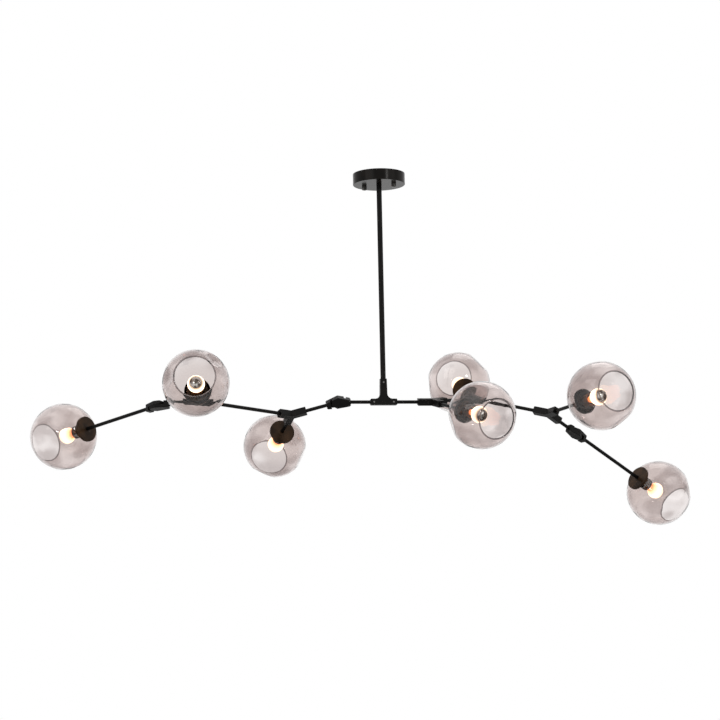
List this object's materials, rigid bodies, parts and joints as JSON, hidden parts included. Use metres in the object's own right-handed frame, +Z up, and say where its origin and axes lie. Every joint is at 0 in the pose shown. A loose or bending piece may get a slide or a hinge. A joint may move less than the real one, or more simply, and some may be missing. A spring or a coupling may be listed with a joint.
{
  "type": "branch chandelier",
  "caption": "Branch chandelier: dented smoke-glass globe lamps on black rods joined by three-way fittings and clamped knuckles, hung from a round canopy by a down rod.",
  "frame": {"origin": "centre of the ceiling strap's upper face, where the two ceiling screws hold it: the point on the ceiling above the down rod", "axes": "+Z up, towards the ceiling; +X to the right along the long row of lamps as the picture shows it; +Y to the back, away from the camera"},
  "size_m": [1.5228, 0.7259, 0.8086],
  "materials": {
    "rod_black": "satin black powder coat with a faint warm sheen",
    "cast_black": "satin black over fine casting grain",
    "cup_black": "satin black spun steel, bronzed by the bulb's light",
    "smoke_glass": "clear smoke-grey glass with a mauve tint, blown with finger dents",
    "bulb_glass": "lit opal glass ball with a silvered crown",
    "screw_steel": "bright steel socket screws",
    "zinc_steel": "zinc-plated steel",
    "dark_nickel": "dark turned nuts",
    "insulator": "matt off-white insulator"
  },
  "bodies": {
    "frame": {"ceiling_strap": "zinc_steel", "strap_studs": "zinc_steel", "cap_nuts": "dark_nickel", "canopy": "rod_black", "terminal_block": "insulator", "down_rod": "rod_black", "threaded_nipple": "zinc_steel", "lock_nut": "zinc_steel", "tee_fitting": "cast_black", "left_rod_1": "rod_black", "knuckle_1_inner": "cast_black", "right_rod_1": "rod_black", "right_a_fitting": "cast_black", "right_rod_2": "rod_black", "right_b_fitting": "cast_black", "right_rod_3": "rod_black", "right_c_fitting": "cast_black", "right_rod_4": "rod_black", "knuckle_3_inner": "cast_black", "frame_screws": "screw_steel", "lamp_4_rod": "rod_black", "lamp_4_socket": "cup_black", "lamp_4_globe": "smoke_glass", "lamp_4_bulb": "bulb_glass", "lamp_5_rod": "rod_black", "lamp_5_socket": "cup_black", "lamp_5_globe": "smoke_glass", "lamp_5_bulb": "bulb_glass", "lamp_6_rod": "rod_black", "lamp_6_socket": "cup_black", "lamp_6_globe": "smoke_glass", "lamp_6_bulb": "bulb_glass"},
    "left_branch": {"knuckle_1_outer": "cast_black", "left_rod_2": "rod_black", "left_a_fitting": "cast_black", "left_rod_3": "rod_black", "left_b_fitting": "cast_black", "left_rod_4": "rod_black", "knuckle_2_inner": "cast_black", "left_branch_screws": "screw_steel", "lamp_2_rod": "rod_black", "lamp_2_socket": "cup_black", "lamp_2_globe": "smoke_glass", "lamp_2_bulb": "bulb_glass", "lamp_3_rod": "rod_black", "lamp_3_socket": "cup_black", "lamp_3_globe": "smoke_glass", "lamp_3_bulb": "bulb_glass"},
    "lamp_1_arm": {"knuckle_2_outer": "cast_black", "lamp_1_arm_screws": "screw_steel", "lamp_1_rod": "rod_black", "lamp_1_socket": "cup_black", "lamp_1_globe": "smoke_glass", "lamp_1_bulb": "bulb_glass"},
    "lamp_7_arm": {"knuckle_3_outer": "cast_black", "lamp_7_arm_screws": "screw_steel", "lamp_7_rod": "rod_black", "lamp_7_socket": "cup_black", "lamp_7_globe": "smoke_glass", "lamp_7_bulb": "bulb_glass"}
  },
  "joints": [
    {"name": "knuckle_1_pivot", "type": "hinge", "parent": "frame", "child": "left_branch", "pos_m": [-0.10288, -0.01519, -0.53], "axis": [0.1247, -0.8444, -0.521], "range_deg": [-61.6, 28.4]},
    {"name": "knuckle_2_pivot", "type": "hinge", "parent": "left_branch", "child": "lamp_1_arm", "pos_m": [-0.49674, -0.18318, -0.55095], "axis": [0.0366, -0.1968, -0.9798], "range_deg": [-73.7, 16.3]},
    {"name": "knuckle_3_pivot", "type": "hinge", "parent": "frame", "child": "lamp_7_arm", "pos_m": [0.43995, 0.05005, -0.60546], "axis": [-0.2895, -0.349, -0.8913], "range_deg": [-46, 44]}
  ]
}
